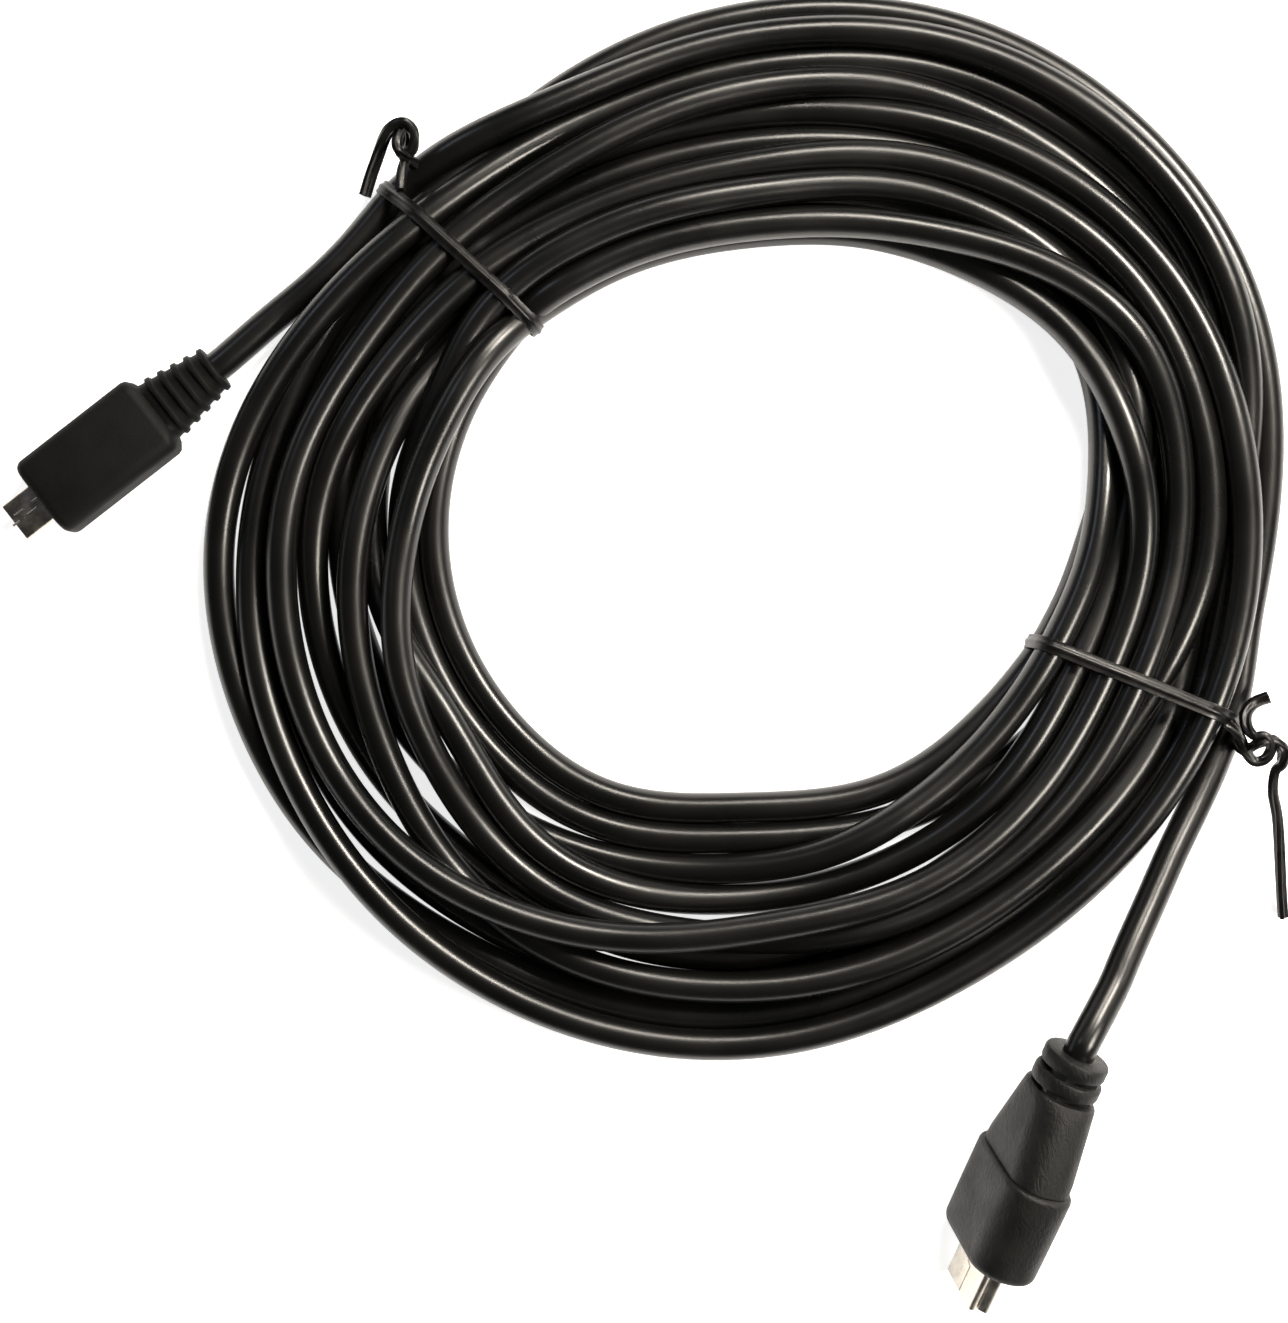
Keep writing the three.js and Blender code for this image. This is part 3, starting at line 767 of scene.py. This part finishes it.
def seam_cutter(name, path, height, gap, depth):
    """A thin wall along a stepped line on a shell's top face, as wide as the folded sheet's gap."""
    verts, faces = [], []
    points = [Vector(p) for p in path]
    for i, point in enumerate(points):
        before = points[max(i - 1, 0)]
        after = points[min(i + 1, len(points) - 1)]
        first = (point - before).normalized() if i else (after - point).normalized()
        second = (after - point).normalized() if i < len(points) - 1 else first
        normal_a = Vector((first.y, -first.x))
        normal_b = Vector((second.y, -second.x))
        mitre = (normal_a + normal_b) / (1 + normal_a.dot(normal_b))
        for side in (-1, 1):
            x, z = point + mitre * side * gap / 2
            verts += [Vector((x, height - depth, z)), Vector((x, height + depth, z))]
    for i in range(len(points) - 1):
        a, b = 4 * i, 4 * (i + 1)
        for p, q in ((0, 1), (1, 3), (3, 2), (2, 0)):
            faces.append((a + p, a + q, b + q, b + p))
    faces.append((0, 2, 3, 1))
    last = 4 * (len(points) - 1)
    faces.append((last, last + 1, last + 3, last + 2))
    mesh = bpy.data.meshes.new(name)
    mesh.from_pydata([tuple(v) for v in verts], [], faces)
    face_outward(mesh)
    cutter = bpy.data.objects.new(name, mesh)
    bpy.context.scene.collection.objects.link(cutter)
    return cutter


def cut(piece, cutter, matrix):
    """Cuts the cutter's shape, given in the plug's millimetres, out of the piece."""
    cutter.data.transform(matrix)
    modifier = piece.modifiers.new("cut", "BOOLEAN")
    modifier.operation = "DIFFERENCE"
    modifier.solver = "EXACT"
    modifier.object = cutter
    depsgraph = bpy.context.evaluated_depsgraph_get()
    result = bpy.data.meshes.new_from_object(piece.evaluated_get(depsgraph))
    piece.modifiers.clear()
    piece.data = result
    result.set_sharp_from_angle(angle=math.radians(35))
    bpy.data.objects.remove(cutter)


def stepped_seam(length, back, places, swing):
    """A line along the shell that steps from side to side at the given places."""
    slant = 0.12
    path = [(swing, back)]
    side = 1
    for place in places:
        path.append((side * swing, place - slant))
        side = -side
        path.append((side * swing, place + slant))
    path.append((side * swing, length + 1))
    return path


def folded_shell(side, plug, matrix, outline, material, smooth_angle):
    """A shell folded from sheet metal, with a stepped seam along its top."""
    length, back = plug["shell_exposed"], plug["shell_back"]
    rows = shell_rows(outline, plug["shell_wall"], length, back)
    piece = loft(f"{side}_plug_shell", rows, matrix, material, closed=True, smooth_angle=smooth_angle)
    path = stepped_seam(length, back - 0.5, plug["seam_places"], plug["seam_swing"])
    top = plug["shell_height"] / 2
    cutter = seam_cutter(f"{side}_seam", path, top, plug["seam_gap"], plug["seam_depth"])
    cut(piece, cutter, matrix)
    return piece


def micro_shell(material):
    size = (MICRO["shell_width"], MICRO["shell_height"], MICRO["shell_corner"])
    outline = shell_outline(*size, lean=MICRO["shell_lean"])
    piece = folded_shell("micro", MICRO, MICRO_FRAME, outline, material, 35)
    verts, faces = slot_edges((MICRO_FRAME @ Vector((0, MICRO["shell_height"] / 2, 0))).z / MM)
    place_piece(mesh_piece("micro_plug_slot_edges", verts, faces, material), "plug_shell")
    return place_piece(piece, "plug_shell", "micro_shell")


def mini_shell(material):
    size = (MINI["shell_width"], MINI["shell_height"], MINI["shell_corner"])
    outline = shell_outline(*size, groove=MINI["shell_groove"])
    piece = folded_shell("mini", MINI, MINI_FRAME, outline, material, 50)
    return place_piece(piece, "plug_shell", "mini_shell")


def slot_edges(shell_top):
    """The bright rolled edges of the four slots in the small shell's top, as low half-round bars."""
    arc = [math.pi * step / 6 for step in range(7)]
    faces, verts = [], []
    for seen_ends in MICRO_SLOTS:
        ends = [seen_at(right, down, shell_top) for right, down in seen_ends]
        along = (ends[1] - ends[0]).normalized()
        side = along.cross(Vector((0, 0, 1)))
        rows = []
        for end in ends:
            across = [side * (SLOT_EDGE_RADIUS * math.cos(a)) for a in arc]
            rises = [Vector((0, 0, SLOT_EDGE_HEIGHT * math.sin(a) - SLOT_EDGE_SINK)) for a in arc]
            rows.append([end + sideways + rise for sideways, rise in zip(across, rises)])
        faces += skin(rows, first=len(verts))
        verts += [point * MM for row in rows for point in row]
    return verts, faces


def contacts(side, plug, matrix, material):
    """Thin contact strips side by side on a plug's tongue."""
    end, half_width = plug["contact_end"], plug["contact_width"] / 2
    count = len(CONTACT_SECTION)
    verts, faces = [], []
    for index in range(CONTACT_COUNT):
        middle = (index - CONTACT_COUNT // 2) * plug["contact_pitch"]
        rows = []
        for at, lift in ((CONTACT_START, 0), (end - 0.3, 0), (end, -0.06)):
            rows.append([Vector((middle + x * half_width, y + lift, at)) for x, y in CONTACT_SECTION])
        faces += skin(rows, first=index * count * len(rows))
        verts += [matrix @ point for row in rows for point in row]
    piece = mesh_piece(f"{side}_plug_contacts", verts, faces, material, 30)
    return place_piece(piece, "contact_carrier")


def carrier(side, plug, matrix, material):
    """The plastic block that fills a shell's rear, with a thin tongue on its inside toward the front."""
    inside = 2 * plug["shell_wall"] + 0.1
    width = plug["shell_width"] - plug["carrier_narrower"] - inside
    height = plug["shell_height"] - inside
    exposed, step_at = plug["shell_exposed"], 0.8
    tongue_width, tongue_height, tongue_gap = 0.86, 0.45, 0.05
    outline = rounded_outline(width, height, 0.2, 3)
    drop = height * (1 - tongue_height) / 2 - tongue_gap
    thin = [(x * tongue_width, y * tongue_height - drop) for x, y in outline]
    rows = [ring(outline, at) for at in (plug["shell_back"] + 0.1, step_at)]
    rows += [ring(thin, at) for at in (step_at, exposed * 0.88, exposed * 0.9)]
    piece = loft(f"{side}_plug_carrier", rows, matrix, material)
    return place_piece(piece, "contact_carrier", f"{side}_insert")


# Ties
def ribbon_section():
    """A flat ribbon's outline, with the round wire in its middle: along the width, then the thickness."""
    half, thin, wire = RIBBON_WIDTH / 2, 0.16, 0.42
    upper = [(half, 0), (half - 0.08, thin), (wire + 0.15, thin * 1.1)]
    upper += [(wire, 0.24), (wire * 0.6, 0.36), (0, wire)]
    upper += [(-x, y) for x, y in reversed(upper[:-1])]
    lower = [(x, -y) for x, y in reversed(upper[1:-1])]
    return upper + lower


def ribbon(points, widths, closed=False, narrower=1.0, thicker=1.0):
    """A ribbon's rows along points, with the direction of its width at each."""
    section = [(x * narrower, y * thicker) for x, y in ribbon_section()]
    count = len(points)
    rows = []
    for i, point in enumerate(points):
        before = points[i - 1] if closed or i else points[i]
        after = points[(i + 1) % count] if closed or i < count - 1 else points[i]
        along = (after - before).normalized()
        width = (widths[i] - along * widths[i].dot(along)).normalized()
        normal = along.cross(width)
        rows.append([point + width * x + normal * y for x, y in section])
    return rows, closed


def hull(points):
    """The convex outline of points, counter-clockwise."""
    points = sorted(set(points))

    def half(ordered):
        kept = []
        for x, y in ordered:
            while len(kept) > 1:
                (ax, ay), (bx, by) = kept[-2:]
                if (bx - ax) * (y - ay) - (by - ay) * (x - ax) > 0:
                    break
                kept.pop()
            kept.append((x, y))
        return kept[:-1]

    return half(points) + half(reversed(points))


def tie_loop_points(bearing, stations):
    """The line of a ribbon pulled tight round the turns at one bearing, as radius and height."""
    bearings, radius, height = stations
    away = (bearings - bearing + 180) % 360 - 180
    near = np.abs(away) < STATION_STEP
    reach = CABLE_DIAMETER / 2 + RIBBON_THICKNESS / 2 - 0.05
    lowest = RIBBON_THICKNESS / 2 + 0.1
    around = [math.radians(angle) for angle in range(0, 360, 12)]
    points = []
    for r, z in zip(radius[near], height[near]):
        points += [(r + reach * math.cos(a), max(z + reach * math.sin(a), lowest)) for a in around]
    outline = hull([(round(x, 4), round(y, 4)) for x, y in points])
    return even_loop(outline, 96)


def even_loop(outline, count):
    """The same closed line with evenly spaced points, slightly smoothed."""
    line = np.array(outline + [outline[0]])
    lengths = np.concatenate([[0], np.cumsum(np.hypot(*np.diff(line, axis=0).T))])
    at = np.linspace(0, lengths[-1], count, endpoint=False)
    loop = np.stack([np.interp(at, lengths, line[:, k]) for k in (0, 1)], axis=1)
    for _ in range(2):
        loop = (np.roll(loop, 1, 0) + 2 * loop + np.roll(loop, -1, 0)) / 4
    return loop


def tie_loop(bearing, stations):
    loop = tie_loop_points(bearing, stations)
    angle = math.radians(bearing)
    along = Vector((-math.sin(angle), math.cos(angle), 0))
    points = [cartesian(bearing, r, z) for r, z in loop]
    return ribbon(points, [along] * len(points), closed=True)


def free_ribbon(route):
    """A ribbon through the places of one route."""
    points = refined([seen_at(right, down, height) for right, down, height, turn in route], 8)
    turns = [turn for right, down, height, turn in route]
    widths = []
    for i, point in enumerate(points):
        before, after = points[max(i - 1, 0)], points[min(i + 1, len(points) - 1)]
        along = (after - before).normalized()
        level = along.cross(Vector((0, 0, 1))).normalized()
        place = i / (len(points) - 1) * (len(turns) - 1)
        turn = math.radians(float(np.interp(place, range(len(turns)), turns)))
        widths.append(level * math.cos(turn) + level.cross(along) * math.sin(turn))
    return ribbon(points, widths, narrower=0.85, thicker=2.1)


# The free parts of both ties as the photograph shows them: right, down, height, and how far the
# ribbon's width is turned from level, in degrees.
TIE_ROUTES = {
    "left": [
        [
            (400, 190, 9.5, 60), (402, 172, 9, 80), (406, 159, 8.5, 100), (413, 147, 9.5, 120),
            (413, 131, 11, 100), (403, 122, 11.5, 80), (391, 127, 11, 70), (384, 139, 9.5, 40),
            (378, 156, 8, 10), (371, 176, 6.5, 0), (365, 196, 5.5, 0),
        ],
        [
            (424, 171, 4, 20), (413, 163, 6.5, 40), (404, 156, 9.5, 60), (397, 146, 11, 70),
            (399, 133, 10.5, 80), (406, 128, 9, 90), (408, 138, 8, 100), (405, 148, 8, 110),
            (400, 153, 9, 120),
        ],
    ],
    "right": [
        [
            (1228, 722, 9, 20), (1239, 735, 9, 50), (1245, 750, 8.5, 80), (1254, 761, 8, 100),
            (1265, 759, 8.5, 120), (1271, 748, 10, 100), (1266, 737, 11, 80), (1255, 736, 10.5, 70),
            (1247, 727, 9.5, 60), (1246, 714, 8.5, 50), (1254, 703, 8, 40), (1269, 697, 8.5, 30),
        ],
        [
            (1230, 737, 4, 20), (1241, 749, 6.5, 50), (1250, 748, 9, 80), (1259, 743, 10.5, 90),
            (1273, 740, 10.5, 90), (1283, 750, 10, 140), (1282, 763, 9, 120), (1275, 772, 8, 100),
            (1273, 792, 7, 90), (1277, 815, 5.8, 80), (1279, 840, 4.8, 70), (1281, 884, 3.2, 60),
            (1283, 917, 1.8, 60),
        ],
    ],
}


def add_tie(side, stations, material):
    """A tie in one piece: its loop round the turns, and both ends of it wound into a knot."""
    ribbons = [tie_loop(TIES[side], stations)]
    ribbons += [free_ribbon(route) for route in TIE_ROUTES[side]]
    verts, faces = [], []
    for rows, closed in ribbons:
        faces += skin(rows, closed, len(verts))
        verts += [point * MM for row in rows for point in row]
    piece = mesh_piece(f"{side}_tie", verts, faces, material, 50)
    place_piece(piece, "tie_ribbon", f"{side}_twist_tie")


# Stage
def add_floor():
    corners = [(x * FLOOR_REACH, y * FLOOR_REACH, 0) for x, y in ((-1, -1), (1, -1), (1, 1), (-1, 1))]
    floor = mesh_piece("floor", corners, [(0, 1, 2, 3)], floor_material())


def add_lamp(name, place, side, power, color):
    data = bpy.data.lights.new(name, "AREA")
    data.shape = "RECTANGLE"
    data.size = data.size_y = side
    data.energy = power
    data.color = color
    lamp = bpy.data.objects.new(name, data)
    lamp.location = place
    lamp.rotation_euler = (-Vector(place)).to_track_quat("-Z", "Y").to_euler()
    bpy.context.scene.collection.objects.link(lamp)


def add_lights():
    world = bpy.data.worlds.new("studio")
    world.use_nodes = True
    tree = world.node_tree
    direction = tree.nodes.new("ShaderNodeTexCoord")
    parts = tree.nodes.new("ShaderNodeSeparateXYZ")
    ramp = tree.nodes.new("ShaderNodeValToRGB")
    set_ramp(ramp, *((height, (brightness,) * 3) for height, brightness in (HORIZON, SKY)))
    tree.links.new(direction.outputs["Generated"], parts.inputs["Vector"])
    tree.links.new(parts.outputs["Z"], ramp.inputs["Fac"])
    tree.links.new(ramp.outputs["Color"], tree.nodes["Background"].inputs["Color"])
    bpy.context.scene.world = world
    bpy.context.scene.view_settings.view_transform = "Standard"
    for name, lamp in LAMPS.items():
        add_lamp(name, *lamp)


add_camera()
add_floor()
add_lights()

stations_path, stations = cord_path()
cord, cord_start, cord_length = add_cord(stations_path)

nickel, gold, insert = nickel_material(), gold_material(), insert_material()
micro_pieces = [
    micro_body(matte_material()),
    micro_shell(nickel),
    carrier("micro", MICRO, MICRO_FRAME, insert),
    contacts("micro", MICRO, MICRO_FRAME, gold),
]
mini_pieces = [
    mini_body(scuffed_material()),
    mini_shell(nickel),
    carrier("mini", MINI, MINI_FRAME, insert),
    contacts("mini", MINI, MINI_FRAME, gold),
]
vinyl = ribbon_material()
for tie_side in TIES:
    add_tie(tie_side, stations, vinyl)
